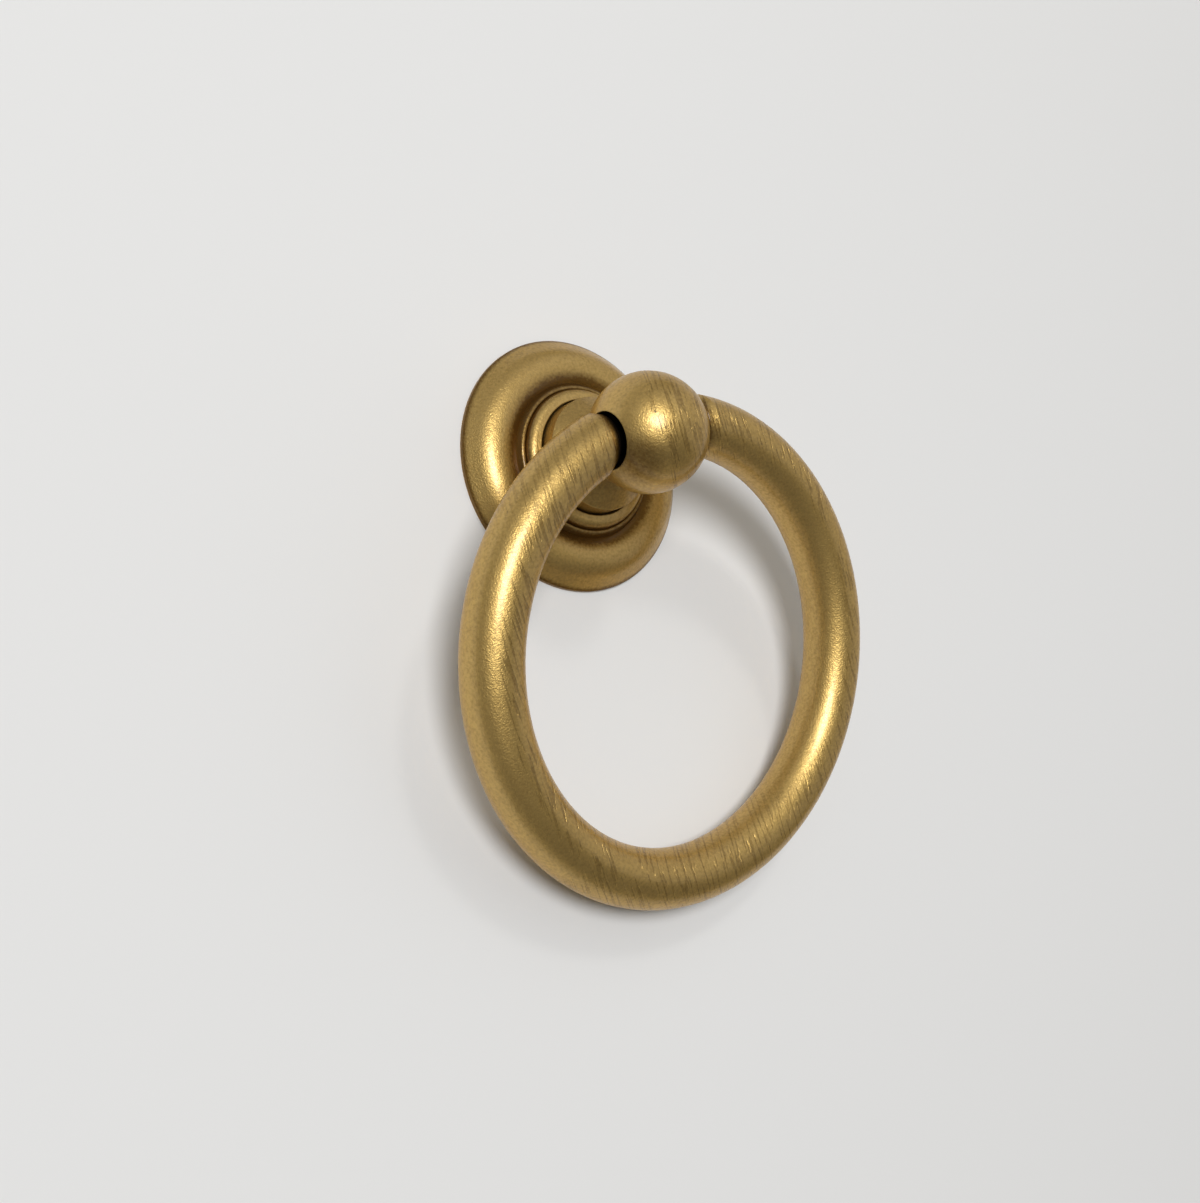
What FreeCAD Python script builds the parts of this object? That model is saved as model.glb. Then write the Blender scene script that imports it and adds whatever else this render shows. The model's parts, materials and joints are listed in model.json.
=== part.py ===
import FreeCAD, Part
import math
import os

# Ring pull handle in satin brass, as it hangs on an upright drawer front.
# The origin is the centre of the rosette's back, +Z is up and the front faces -Y.
# Sizes are in millimetres, and heights are measured from the back towards the front.

# Rosette, a turned backplate with a broad roll, a cove, a bead and an inner ring.
# Each moulding is a corner of the section, given before it is rounded.
rosette_d = 35.6
rim_h = 0.55
roll_d = 28.4
roll_h = 4.55
roll_round = 4.2
cove_d = 21.86
cove_h = 3.0
bead_d = 20.46
bead_h = 4.04
bead_round = 0.5
groove_d = 19.7
groove_h = 3.65
inner_ring_d = 19.8
inner_ring_h = 4.7
inner_ring_round = 1.2
seat_d = 16.16
seat_edge_h = 5.0
seat_h = 3.5
edge_round = 0.15

# Knob post, turned in one piece: spigot, foot, neck and ball
spigot_d = 9.0
spigot_clearance = 0.1
foot_clearance = 0.2
foot_side_h = 7.1
cone_d = 11.2
cone_h = 9.2
cone_round = 1.2
neck_d = 8.8
neck_h = 9.8
neck_round = 0.8
ball_d = 16.0
standoff = 17.6

# Blind hole for an M4 fixing screw, in the back of the post
thread_d = 4.0
thread_depth = 11.0
drill_point_deg = 118.0

# Cross bore of the ball: a bearing for the pins, opened out at both mouths
mouth_d = 7.2
mouth_depth = 1.6
mouth_bevel = 0.2
pin_clearance = 0.06

# Ring, one bent bar. Each end narrows to a flat face square to the hinge axis, with a pin on it.
bar_d = 8.15
ring_d = 60.5
end_gap = 0.62
end_face_d = 7.0
end_round = 0.4
crown_l = 1.6
pin_d = 4.4
pin_l = 5.0
pin_bevel = 0.4
wall_gap = 0.3

ball_r = ball_d / 2
neck_r = neck_d / 2
foot_r = seat_d / 2 - foot_clearance
spigot_r = spigot_d / 2
mouth_r = mouth_d / 2
pin_r = pin_d / 2
bar_r = bar_d / 2
ring_r = ring_d / 2

# The bevelled rim of each mouth lies on the ball, and the bar stops just outside it
rim_x = math.sqrt(ball_r ** 2 - (mouth_r + mouth_bevel) ** 2)
end_x = rim_x + end_gap

# The centreline of the bar is a circle that meets the hinge axis at the two end faces
ring_drop = math.sqrt(ring_r ** 2 - end_x ** 2)
crown_x = end_x + crown_l

# The ring leans back until its lowest point is just off the mounting plane
lean = math.asin((standoff - bar_r - wall_gap) / (ring_drop + ring_r))

most_of_side = 0.98
on_plane = 0.001

x_axis = FreeCAD.Vector(1, 0, 0)
y_axis = FreeCAD.Vector(0, 1, 0)
z_axis = FreeCAD.Vector(0, 0, 1)
origin = FreeCAD.Vector(0, 0, 0)
hinge = FreeCAD.Vector(0, -standoff, 0)


# The most of a side that a rounding may take, when it shares the side with the next rounding
def side_share(side, rounding, other):
    if rounding == 0:
        return 0
    return most_of_side * side.Length * rounding / (rounding + other)


# A closed outline from (x, y, rounding) corners; a rounding is limited by its two sides
def outline(corners):
    points = [FreeCAD.Vector(x, y, 0) for x, y, rounding in corners]
    stretches = []
    for i, corner in enumerate(points):
        after = (i + 1) % len(points)
        to_last = points[i - 1] - corner
        to_next = points[after] - corner
        half_turn = to_last.getAngle(to_next) / 2
        wanted = corners[i][2]
        reach = min(wanted / math.tan(half_turn), side_share(to_last, wanted, corners[i - 1][2]),
                    side_share(to_next, wanted, corners[after][2]))
        rounding = reach * math.tan(half_turn)
        to_last.normalize()
        to_next.normalize()
        inward = (to_last + to_next).normalize()
        start = corner + to_last * reach
        middle = corner + inward * (rounding / math.sin(half_turn) - rounding)
        end = corner + to_next * reach
        stretches.append((start, middle, end, rounding))
    edges = []
    for i, (start, middle, end, rounding) in enumerate(stretches):
        if rounding > 0:
            edges.append(Part.Arc(start, middle, end).toShape())
        edges.append(Part.makeLine(end, stretches[(i + 1) % len(stretches)][0]))
    return Part.Face(Part.Wire(edges))


# A solid turned on the Y axis, from (radius, height, rounding) corners
def turned(corners):
    section = outline([(radius, -height, rounding) for radius, height, rounding in corners])
    return section.revolve(origin, y_axis, 360)


def make_rosette():
    bore_r = spigot_r + spigot_clearance
    return turned([
        (bore_r, 0, 0),
        (rosette_d / 2, 0, 0),
        (rosette_d / 2, rim_h, edge_round),
        (roll_d / 2, roll_h, roll_round),
        (cove_d / 2, cove_h, 0),
        (bead_d / 2, bead_h, bead_round),
        (groove_d / 2, groove_h, 0),
        (inner_ring_d / 2, inner_ring_h, inner_ring_round),
        (seat_d / 2, seat_edge_h, edge_round),
        (seat_d / 2, seat_h, 0),
        (bore_r, seat_h, 0),
    ])


def make_stem():
    return turned([
        (0, 0, 0),
        (spigot_r, 0, 0),
        (spigot_r, seat_h, 0),
        (foot_r, seat_h, 0),
        (foot_r, foot_side_h, edge_round),
        (cone_d / 2, cone_h, cone_round),
        (neck_r, neck_h, neck_round),
        (neck_r, standoff, 0),
        (0, standoff, 0),
    ])


def fixing_hole():
    point_l = thread_d / 2 / math.tan(math.radians(drill_point_deg / 2))
    drill = Part.makeCylinder(thread_d / 2, thread_depth, origin, -y_axis)
    point = Part.makeCone(thread_d / 2, 0, point_l, -y_axis * thread_depth, -y_axis)
    return drill.fuse(point)


# The wide mouth on one side of the ball, with its bevel; side is 1 or -1
def bore_mouth(side):
    floor_x = rim_x - mouth_depth
    bevel_x = rim_x - mouth_bevel
    outward = x_axis * side
    recess = Part.makeCylinder(mouth_r, ball_r - floor_x, hinge + outward * floor_x, outward)
    bevel_l = ball_r - bevel_x
    bevel = Part.makeCone(mouth_r, mouth_r + bevel_l, bevel_l, hinge + outward * bevel_x, outward)
    return recess.fuse(bevel)


def make_knob_post():
    ball = Part.makeSphere(ball_r, hinge, x_axis)
    bearing = Part.makeCylinder(pin_r + pin_clearance, ball_d, hinge - x_axis * ball_r, x_axis)
    body = make_stem().fuse(ball).removeSplitter()
    return body.cut([fixing_hole(), bearing, bore_mouth(1), bore_mouth(-1)])


# The ring is made upright with the hinge axis at the origin, then leaned and put in place
def open_ring():
    centre = -z_axis * ring_drop
    top = Part.Circle(centre + z_axis * ring_r, x_axis, bar_r).toShape()
    hoop = Part.Face(Part.Wire(top)).revolve(centre, y_axis, 360)
    corner = FreeCAD.Vector(-crown_x, -bar_d, -ring_drop)
    return hoop.cut(Part.makeBox(2 * crown_x, 2 * bar_d, ring_d, corner))


# The crown on the right end of the bar, from the bar's cut section to the end face
def bar_crown(bar):
    cuts = [face for face in bar.Faces if abs(face.CenterOfMass.x - crown_x) < on_plane]
    end_edge = Part.Circle(x_axis * end_x, x_axis, end_face_d / 2).toShape()
    crown = Part.makeLoft([cuts[0].OuterWire, Part.Wire(end_edge)], True, True)
    rim = [edge for edge in crown.Edges if abs(edge.CenterOfMass.x - end_x) < on_plane]
    return crown.makeFillet(min(end_round, crown_l / 2), rim)


def hinge_pin():
    root_x = end_x + crown_l / 2
    straight_l = root_x - end_x + pin_l - pin_bevel
    shank = Part.makeCylinder(pin_r, straight_l, x_axis * root_x, -x_axis)
    tip = Part.makeCone(pin_r, pin_r - pin_bevel, pin_bevel, x_axis * (root_x - straight_l), -x_axis)
    return shank.fuse(tip)


def make_ring():
    bar = open_ring()
    end = bar_crown(bar).fuse(hinge_pin())
    ring = bar.fuse([end, end.mirror(origin, x_axis)]).removeSplitter()
    ring.rotate(origin, x_axis, math.degrees(lean))
    ring.translate(hinge)
    return ring


nodes = {
    "rosette": make_rosette(),
    "knob_post": make_knob_post(),
    "ring": make_ring(),
}

os.makedirs("parts", exist_ok=True)
for name, shape in nodes.items():
    solid = shape.Solids[0]
    box = solid.BoundBox
    print(name, "solids", len(shape.Solids), "valid", shape.isValid(), "volume", round(solid.Volume, 2),
          "x", round(box.XMin, 3), round(box.XMax, 3), "y", round(box.YMin, 3), round(box.YMax, 3),
          "z", round(box.ZMin, 3), round(box.ZMax, 3))
    solid.exportStep(f"parts/{name}.step")
print("ring drop", round(ring_drop, 3), "lean in degrees", round(math.degrees(lean), 3),
      "end x", round(end_x, 3), "rim x", round(rim_x, 3))
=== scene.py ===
import json
import math

import bmesh
import bpy
from mathutils import Matrix, Quaternion, Vector


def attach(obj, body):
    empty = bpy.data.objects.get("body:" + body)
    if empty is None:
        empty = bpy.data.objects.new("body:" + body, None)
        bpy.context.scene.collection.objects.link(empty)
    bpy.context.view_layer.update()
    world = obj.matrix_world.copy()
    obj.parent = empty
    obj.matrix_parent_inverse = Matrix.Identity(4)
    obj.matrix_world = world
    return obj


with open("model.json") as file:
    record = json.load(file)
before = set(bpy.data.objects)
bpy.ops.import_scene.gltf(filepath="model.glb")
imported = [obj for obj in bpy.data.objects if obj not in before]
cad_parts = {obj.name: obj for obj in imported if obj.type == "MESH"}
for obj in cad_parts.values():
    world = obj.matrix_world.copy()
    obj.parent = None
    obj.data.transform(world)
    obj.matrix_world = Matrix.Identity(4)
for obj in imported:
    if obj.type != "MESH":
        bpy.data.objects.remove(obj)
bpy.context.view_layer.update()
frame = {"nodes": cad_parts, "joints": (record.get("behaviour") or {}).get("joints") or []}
print("frame loaded:", sorted(frame["nodes"]))

mm = 0.001
hinge = Vector(frame["joints"][0]["pos_m"]) / mm  # middle of the ball, in millimetres


# A Wire is one output socket. Sums and products of wires add Math nodes, and node() adds
# any other node.
class Wire:
    def __init__(self, tree, socket):
        self.tree = tree
        self.socket = socket

    def node(self, kind, settings, inputs, output=0):
        made = self.tree.nodes.new(kind)
        for name, value in settings.items():
            setattr(made, name, value)
        for name, value in inputs.items():
            if isinstance(value, Wire):
                self.tree.links.new(value.socket, made.inputs[name])
            else:
                made.inputs[name].default_value = value
        return Wire(self.tree, made.outputs[output])

    def maths(self, operation, first, second=0.0, clamp=False):
        settings = {"operation": operation, "use_clamp": clamp}
        return self.node("ShaderNodeMath", settings, {0: first, 1: second})

    def __add__(self, other):
        return self.maths("ADD", self, other)

    def __radd__(self, other):
        return self.maths("ADD", other, self)

    def __sub__(self, other):
        return self.maths("SUBTRACT", self, other)

    def __rsub__(self, other):
        return self.maths("SUBTRACT", other, self)

    def __mul__(self, other):
        return self.maths("MULTIPLY", self, other)

    def __rmul__(self, other):
        return self.maths("MULTIPLY", other, self)

    def __truediv__(self, other):
        return self.maths("DIVIDE", self, other)

    def __pow__(self, other):
        return self.maths("POWER", self, other)

    def clamped(self):
        return self.maths("ADD", self, 0.0, clamp=True)

    def larger(self, other):
        return self.maths("MAXIMUM", self, other)

    def between(self, low, high):
        # 0 below low, 1 above high, smooth between them
        settings = {"interpolation_type": "SMOOTHSTEP"}
        inputs = {"Value": self, "From Min": low, "From Max": high}
        return self.node("ShaderNodeMapRange", settings, inputs)

    def near(self, centre, width):
        # 1 at the centre, falling to 0 at that distance either side
        return 1 - self.maths("ABSOLUTE", self - centre).between(0, width)

    def axes(self):
        return [self.node("ShaderNodeSeparateXYZ", {}, {0: self}, output=axis) for axis in range(3)]

    def scaled(self, factors):
        return self.node("ShaderNodeVectorMath", {"operation": "MULTIPLY"}, {0: self, 1: factors})

    def noise(self, detail):
        inputs = {"Vector": self, "Scale": 1.0, "Detail": detail}
        return self.node("ShaderNodeTexNoise", {}, inputs)

    def tint(self, low, high):
        # a colour that goes from low to high with this wire
        inputs = {0: self, 6: low, 7: high}
        return self.node("ShaderNodeMix", {"data_type": "RGBA"}, inputs, output=2)


def distance(first, second):
    return (first * first + second * second) ** 0.5


def newMaterial(name):
    material = bpy.data.materials.new(name)
    material.use_nodes = True
    material.node_tree.nodes.clear()
    return material, Wire(material.node_tree, None)


def surface(material, shader):
    output = shader.tree.nodes.new("ShaderNodeOutputMaterial")
    shader.tree.links.new(shader.socket, output.inputs["Surface"])
    return material


# Blasted and brushed brass, with a thin clear lacquer. Sizes are in millimetres. Here and
# below, a pair of numbers without a note gives the two values between which a mark fades.
brass = dict(
    base=(0.62, 0.415, 0.13, 1),
    edge=(0.68, 0.53, 0.34, 1),
    # Dark brown for tarnish and for painted shade, near black for painted shade in bores, gaps and
    # crevices
    patinaAndPaintedShade=(0.19, 0.10, 0.018, 1),
    paintedBlackShade=(0.008, 0.006, 0.004, 1),
    wear=0.12,
    roughness=0.45,
    roughSpread=0.24,
    blackShadeRoughness=0.3,
    coat=0.65,
    coatRoughness=0.23,
    grainSize=0.22,
    grainDetail=2.0,
    grainDepth=0.05,
    speckSize=0.4,
    speckDetail=2.0,
    speckTone=1.0,
    mottleSize=5.0,
    mottleDetail=3.0,
    mottleTone=0.2,
    brushed=(0.785, -0.62),  # x and y of the level direction across the strokes
    streakDetail=1.0,
    strokeSize=(0.37, 5.5),  # across and along the brush
    strokeBand=(0.54, 0.6),
    strokeDepth=0.1,
    strokeTone=0.35,
    hairSize=(0.18, 4.0),
    hairDepth=0.03,
)
noiseMiddle = 0.5


# A new material, and its place on the object in millimetres
def brassPlace(name):
    material, start = newMaterial(name)
    coordinates = start.node("ShaderNodeTexCoord", {}, {}, output="Object")
    return material, coordinates.scaled((1 / mm, 1 / mm, 1 / mm))


# The brush runs up and down, and this is how far across its strokes a place lies
def alongside(place):
    x, y = place.axes()[:2]
    return brass["brushed"][0] * x + brass["brushed"][1] * (y - hinge.y)


def clouds(place, size, detail):
    return place.scaled((1 / size, 1 / size, 1 / size)).noise(detail)


def streaks(brushed, size):
    across, along = size
    return brushed.scaled((1 / across, 0, 1 / along)).noise(brass["streakDetail"])


# The first mask darkens the metal, with tarnish and with painted shade, the second paints it black
# where shade falls deep, and strokes are where the brush has scored it, all from 0 to 1; relief is
# a height in millimetres
def brassSurface(material, place, patinaAndPaintedShade, paintedBlackShade, strokes, relief=0.0):
    grain = clouds(place, brass["grainSize"], brass["grainDetail"])
    speck = clouds(place, brass["speckSize"], brass["speckDetail"]) - noiseMiddle
    mottle = clouds(place, brass["mottleSize"], brass["mottleDetail"]) - noiseMiddle
    brushed = place.node("ShaderNodeCombineXYZ", {}, {0: alongside(place), 2: place.axes()[2]})
    hairs = streaks(brushed, brass["hairSize"])
    groove = strokes * streaks(brushed, brass["strokeSize"]).between(*brass["strokeBand"])
    tone = (patinaAndPaintedShade + brass["wear"] + brass["mottleTone"] * mottle + brass["speckTone"] * speck
            + brass["strokeTone"] * groove)
    metal = tone.clamped().tint(brass["base"], brass["patinaAndPaintedShade"])
    roughness = brass["roughness"] + brass["roughSpread"] * speck + brass["blackShadeRoughness"] * paintedBlackShade
    height = (brass["grainDepth"] * grain + strokes * brass["hairDepth"] * hairs
              - brass["strokeDepth"] * groove + relief)
    bump = {"Strength": 1.0, "Distance": mm, "Height": height}
    shader = place.node("ShaderNodeBsdfPrincipled", {}, {
        "Base Color": paintedBlackShade.tint(metal, brass["paintedBlackShade"]),
        "Metallic": 1.0,
        "Specular Tint": brass["edge"],
        "Roughness": roughness,
        "Coat Weight": brass["coat"] * (1 - paintedBlackShade),
        "Coat Roughness": brass["coatRoughness"],
        "Normal": place.node("ShaderNodeBump", {}, bump),
    })
    return surface(material, shader)


# Rosette: tarnish and painted shade darken the cove and the groove, painted shade darkens the rim's
# edge and the crevice round the post, and its back keeps its turning marks
rosette = dict(
    cove=(11.1, 2.0, 1.1),  # radius, width and amount of darkening by tarnish and painted shade
    groove=(9.85, 0.28, 0.9),
    rim=(17.8, 0.6, 1.0),
    seatShadeMask=(7.9, 8.3),
    seatShadeTone=0.6,
    seatBlackShade=0.5,
    backHeight=(0.02, 0.12),
    turningPitch=0.45,
    turningDepth=0.012,
)


def rosetteBrass():
    material, place = brassPlace("rosette_brass")
    x, y, z = place.axes()
    height = 0 - y
    across = distance(x, z)
    patinaAndPaintedShade = 0.0
    # Part tarnish and part painted shade in the cove and the groove, painted shade along the rim's
    # edge
    for part in ("cove", "groove", "rim"):
        radius, width, amount = rosette[part]
        patinaAndPaintedShade = amount * across.near(radius, width) + patinaAndPaintedShade
    back = 1 - height.between(*rosette["backHeight"])
    # Painted shade and painted black shade in the crevice round the post's foot
    seatShadeMask = (1 - across.between(*rosette["seatShadeMask"])) * (1 - back)
    patinaAndPaintedShade = patinaAndPaintedShade * (1 - back) + rosette["seatShadeTone"] * seatShadeMask
    turning = across.maths("SINE", across * (2 * math.pi / rosette["turningPitch"]))
    relief = rosette["turningDepth"] * back * turning
    return brassSurface(material, place, patinaAndPaintedShade, rosette["seatBlackShade"] * seatShadeMask, 0.0, relief)


# Post: painted black shade inside the bores, painted shade low on the foot and round the neck, a
# painted dark reflection at one place on the ball, and scored on the ball's side away from the left
# mouth
post = dict(
    bore=(3.6, 3.95),
    foot=(4.5, 6.9),
    footShadeTone=0.3,
    footBlackShade=0.3,
    neck=(9.6, 11.5),
    neckShadeTone=0.15,
    paintedReflectionPlace=(-2.2, -3.8),  # across the brush, and height
    paintedReflection=(1.0, 4.0),
    paintedReflectionTone=0.6,
    strokeFrom=(0.3, 1.6),
)


def postBrass():
    material, place = brassPlace("knob_post_brass")
    y, z = place.axes()[1:]
    height = 0 - y
    # Painted black shade inside the bores, painted shade low on the foot and round the neck
    bore = 1 - distance(y - hinge.y, z).between(*post["bore"])
    foot = 1 - height.between(*post["foot"])
    neck = 1 - height.between(*post["neck"])
    across = alongside(place)
    # A painted dark reflection of the ring's end on the ball
    fromPaintedReflection = distance(across - post["paintedReflectionPlace"][0], z - post["paintedReflectionPlace"][1])
    paintedReflection = 1 - fromPaintedReflection.between(*post["paintedReflection"])
    patinaAndPaintedShade = post["neckShadeTone"] * neck + post["footShadeTone"] * foot + post["paintedReflectionTone"] * paintedReflection
    paintedBlackShade = bore.larger(post["footBlackShade"] * foot)
    strokes = across.between(*post["strokeFrom"])
    return brassSurface(material, place, patinaAndPaintedShade, paintedBlackShade, strokes)


# Ring: scored on the flanks that face +X, across its foot and near its ends, with painted shade on
# the crowned ends and painted black shade on their end faces. The first four values are the solid's
# own, with the lean in degrees.
ring = dict(
    radius=30.25,
    drop=29.264,
    bar=4.075,
    lean=12.839,
    strokeFlank=(-0.42, 0.0),
    strokeEdge=(0.5, 0.8),
    strokeFoot=(50, 56),
    footStrokes=0.8,
    strokeTop=(3, 9),
    topStrokes=0.6,
    ends=(6, 9),
    shift=0.5,
    crown=(8.0, 9.6),
    crownPatina=0.8,
    face=(7.6, 8.9),
)


def ringBrass():
    material, place = brassPlace("ring_brass")
    x, y, z = place.axes()
    lean = math.radians(ring["lean"])
    below = math.sin(lean) * (y - hinge.y) - math.cos(lean) * z
    reach = distance(x, below - ring["drop"])
    facing = (reach - ring["radius"]) / ring["bar"] * x / reach
    foot = ring["footStrokes"] * below.between(*ring["strokeFoot"])
    top = ring["topStrokes"] * (1 - below.between(*ring["strokeTop"]))
    flank = facing.between(*ring["strokeFlank"])
    strokes = flank.larger(foot).larger(top) * (1 - facing.between(*ring["strokeEdge"]))
    side = x.maths("ABSOLUTE", x + ring["shift"])  # the left end gets more painted shade
    ends = 1 - below.between(*ring["ends"])
    # Painted shade on the crowned ends and painted black shade on the end faces
    crown = ends * (1 - side.between(*ring["crown"]))
    face = ends * (1 - side.between(*ring["face"]))
    return brassSurface(material, place, ring["crownPatina"] * crown, face, strokes)


finishes = {"rosette": rosetteBrass(), "knob_post": postBrass(), "ring": ringBrass()}
for node, finish in finishes.items():
    frame["nodes"][node].material_slots[0].material = finish
print("finishes made")


def addPiece(name, bm):
    mesh = bpy.data.meshes.new(name)
    bm.to_mesh(mesh)
    bm.free()
    piece = bpy.data.objects.new(name, mesh)
    bpy.context.scene.collection.objects.link(piece)
    return piece


# Thread of the fixing hole, an M4 ridge that stands in from the plain bore
thread = dict(
    pitch=0.7,
    crest=1.62,
    crestWidth=0.16,
    root=2.03,
    rootWidth=0.62,
    start=0.6,
    turns=14,
    steps=32,  # in one turn
    merge=0.001,
)


def makeThread():
    bm = bmesh.new()
    corners = [
        (thread["root"], -thread["rootWidth"] / 2),
        (thread["crest"], -thread["crestWidth"] / 2),
        (thread["crest"], thread["crestWidth"] / 2),
        (thread["root"], thread["rootWidth"] / 2),
    ]
    verts = [bm.verts.new((radius * mm, -(thread["start"] + along) * mm, 0))
             for radius, along in corners]
    section = bm.faces.new(verts)
    rise = thread["pitch"] / thread["steps"] * mm
    bmesh.ops.spin(
        bm, geom=[section], cent=(0, 0, 0), axis=(0, 1, 0), dvec=(0, -rise, 0),
        angle=2 * math.pi * thread["turns"], steps=thread["turns"] * thread["steps"],
        use_merge=False)
    bmesh.ops.remove_doubles(bm, verts=bm.verts, dist=thread["merge"] * mm)
    bmesh.ops.recalc_face_normals(bm, faces=bm.faces)
    piece = addPiece("fixing_thread", bm)
    piece.data.materials.append(finishes["knob_post"])
    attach(piece, "fixed")
    print("thread made,", len(piece.data.polygons), "faces")


makeThread()

# Mounting panel that the pull hangs on, clear to a camera behind it
panel = dict(
    width=3.0,
    front=-0.02 * mm,
    colour=(0.79, 0.78, 0.752, 1),
    roughness=0.85,
    gloss=0.2,
)


def makePanel():
    bm = bmesh.new()
    bmesh.ops.create_grid(bm, x_segments=1, y_segments=1, size=panel["width"] / 2)
    upright = Matrix.Rotation(math.radians(90), 3, "X")
    bmesh.ops.rotate(bm, verts=bm.verts, cent=(0, 0, 0), matrix=upright)
    bmesh.ops.translate(bm, verts=bm.verts, vec=(0, panel["front"], 0))
    board = addPiece("mounting_panel", bm)
    material, start = newMaterial("panel_paint")
    paint = start.node("ShaderNodeBsdfPrincipled", {}, {
        "Base Color": panel["colour"],
        "Roughness": panel["roughness"],
        "Specular IOR Level": panel["gloss"],
    })
    clear = start.node("ShaderNodeBsdfTransparent", {}, {})
    behind = start.node("ShaderNodeNewGeometry", {}, {}, output="Backfacing")
    seen = start.node("ShaderNodeLightPath", {}, {}, output="Is Camera Ray")
    shader = start.node("ShaderNodeMixShader", {}, {0: behind * seen, 1: paint, 2: clear})
    board.data.materials.append(surface(material, shader))
    print("panel made")


makePanel()

# Soft studio light. A level of 1 renders a white surface that faces the lamp as white, and a
# lamp that isn't mirrored makes no highlight of its own.
lamps = dict(
    key=dict(toward=(-0.31, -0.93, 0.2), across=0.52, level=0.71, tint=(0.98, 1.0, 1.05)),
    fill=dict(toward=(0.271, -0.741, 0.614), across=0.17, level=0.09, mirrored=False),
    soft=dict(toward=(0.35, -0.74, 0.57), across=1.0, level=0.035),
    top=dict(toward=(-0.1, -0.45, 0.89), across=2.0, level=0.12),
    side=dict(toward=(0.9, -0.42, 0.12), across=2.0, level=0.27),
    rear=dict(toward=(0.4, 0.8, 0.3), across=0.6, level=0.35),
)
lampDistance = 1.2
lampTarget = Vector((0, -0.01, -0.025))
worldColour = (0.155, 0.15, 0.14, 1)


def makeLamp(name, toward, across, level, tint=(1, 1, 1), mirrored=True):
    data = bpy.data.lights.new(name, "AREA")
    data.color = tint
    data.shape = "DISK"
    data.size = across
    data.energy = level * math.pi ** 2 * lampDistance ** 2
    lamp = bpy.data.objects.new(name, data)
    lamp.location = lampTarget + Vector(toward).normalized() * lampDistance
    lamp.rotation_euler = Vector(toward).to_track_quat("Z", "Y").to_euler()
    lamp.visible_glossy = mirrored
    bpy.context.scene.collection.objects.link(lamp)


for lampName, lampSettings in lamps.items():
    makeLamp(lampName, **lampSettings)

world = bpy.data.worlds.new("studio")
world.use_nodes = True
world.node_tree.nodes["Background"].inputs["Color"].default_value = worldColour
bpy.context.scene.world = world
print("light made")

# Camera at the photograph's place. The roll is in degrees, the lens and the sensor are in
# millimetres and the clip is in metres.
camera = dict(
    place=Vector((-132.769, -168.275, -21.039)) * mm,
    aim=Vector((-9.384, -10.0, -19.328)) * mm,
    roll=-16.05,
    lens=46.27,
    sensor=36.0,
    clip=(0.01, 10),
)


def makeCamera():
    data = bpy.data.cameras.new("camera")
    data.lens = camera["lens"]
    data.sensor_width = camera["sensor"]
    data.clip_start, data.clip_end = camera["clip"]
    eye = bpy.data.objects.new("camera", data)
    eye.location = camera["place"]
    turn = (camera["aim"] - camera["place"]).to_track_quat("-Z", "Y")
    eye.rotation_mode = "QUATERNION"
    eye.rotation_quaternion = turn @ Quaternion((0, 0, 1), math.radians(camera["roll"]))
    bpy.context.scene.collection.objects.link(eye)
    bpy.context.scene.camera = eye
    print("camera made")


makeCamera()
bpy.context.scene.view_settings.view_transform = "Standard"
